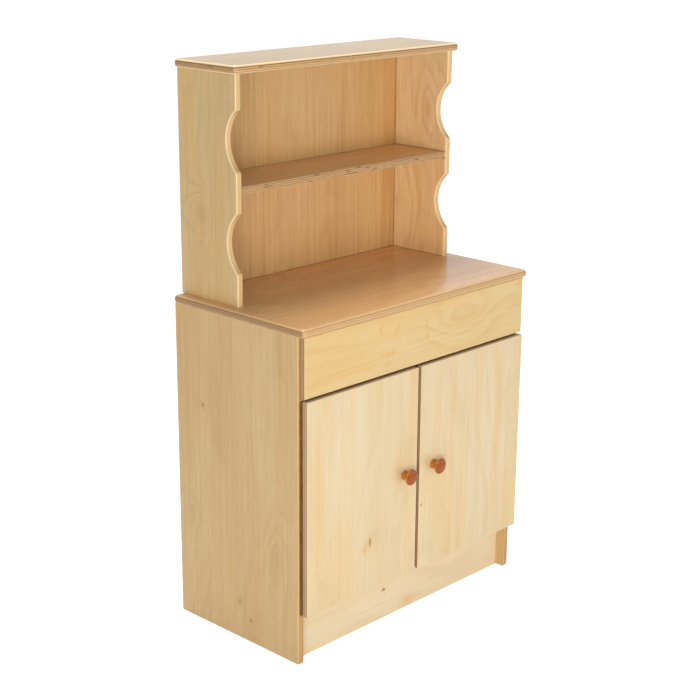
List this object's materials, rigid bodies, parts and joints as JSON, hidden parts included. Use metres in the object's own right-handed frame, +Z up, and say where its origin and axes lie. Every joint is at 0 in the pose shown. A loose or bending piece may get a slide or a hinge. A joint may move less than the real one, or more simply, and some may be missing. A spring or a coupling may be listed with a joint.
{
  "type": "toy kitchen",
  "caption": "Child-height play kitchen in birch plywood: a hinged double-door cupboard with a false drawer front, a countertop and an open hutch with scalloped sides and a shelf.",
  "frame": {"origin": "middle of the whole footprint, on the floor", "axes": "+Z up, the doors face -Y, +X to the right of someone facing the doors"},
  "size_m": [0.6216, 0.362, 1.065],
  "materials": {
    "side_ply": "satin clear lacquer",
    "door_ply": "satin clear lacquer",
    "front_ply": "satin clear lacquer",
    "carcass_ply": "satin clear lacquer",
    "back_ply": "satin clear lacquer",
    "top_ply": "satin clear lacquer",
    "solid_birch": "sanded",
    "dowel_beech": "fluted, unfinished",
    "knob_birch": "turned and lacquered",
    "hinge_bronze": "dark bronze plate",
    "hinge_pin_steel": "drawn",
    "dark_screws": "bronzed",
    "bright_screws": "zinc plated",
    "catch_plastic": "moulded",
    "magnet_poles": "nickel plated",
    "strike_steel": "zinc plated"
  },
  "bodies": {
    "cabinet": {"cabinet_floor": "carcass_ply", "cabinet_shelf": "carcass_ply", "cabinet_back": "back_ply", "toe_kick": "front_ply", "toe_kick_blocks": "solid_birch", "front_rail": "solid_birch", "rear_rail": "solid_birch", "front_apron": "front_ply", "countertop": "top_ply", "hutch_shelf": "top_ply", "hutch_back": "back_ply", "hutch_top": "top_ply", "rail_dowels": "dowel_beech", "hutch_top_dowels": "dowel_beech", "apron_screws": "bright_screws", "cleat_screws": "bright_screws", "countertop_screws": "bright_screws", "hutch_screws": "bright_screws", "cabinet_back_screws": "bright_screws", "hutch_back_screws": "bright_screws", "catch_screws": "bright_screws", "left_side_panel": "side_ply", "right_side_panel": "side_ply", "left_top_cleat": "solid_birch", "right_top_cleat": "solid_birch", "left_hutch_side": "side_ply", "right_hutch_side": "side_ply", "left_hinge_frame_leaf": "hinge_bronze", "right_hinge_frame_leaf": "hinge_bronze", "left_hinge_pin": "hinge_pin_steel", "right_hinge_pin": "hinge_pin_steel", "left_hinge_frame_screws": "dark_screws", "right_hinge_frame_screws": "dark_screws", "left_catch_housing": "catch_plastic", "right_catch_housing": "catch_plastic", "left_catch_magnet": "magnet_poles", "right_catch_magnet": "magnet_poles"},
    "left_door": {"left_door": "door_ply", "left_hinge_door_leaf": "hinge_bronze", "left_hinge_door_screws": "dark_screws", "left_knob": "knob_birch", "left_knob_screw": "bright_screws", "left_strike_plate": "strike_steel", "left_strike_screw": "bright_screws"},
    "right_door": {"right_door": "door_ply", "right_hinge_door_leaf": "hinge_bronze", "right_hinge_door_screws": "dark_screws", "right_knob": "knob_birch", "right_knob_screw": "bright_screws", "right_strike_plate": "strike_steel", "right_strike_screw": "bright_screws"}
  },
  "joints": [
    {"name": "left_door_hinge", "type": "hinge", "parent": "cabinet", "child": "left_door", "pos_m": [-0.3006, -0.144, 0.3026], "axis": [0, 0, -1], "range_deg": [0, 120]},
    {"name": "right_door_hinge", "type": "hinge", "parent": "cabinet", "child": "right_door", "pos_m": [0.3006, -0.144, 0.3026], "axis": [0, 0, 1], "range_deg": [0, 120]}
  ]
}
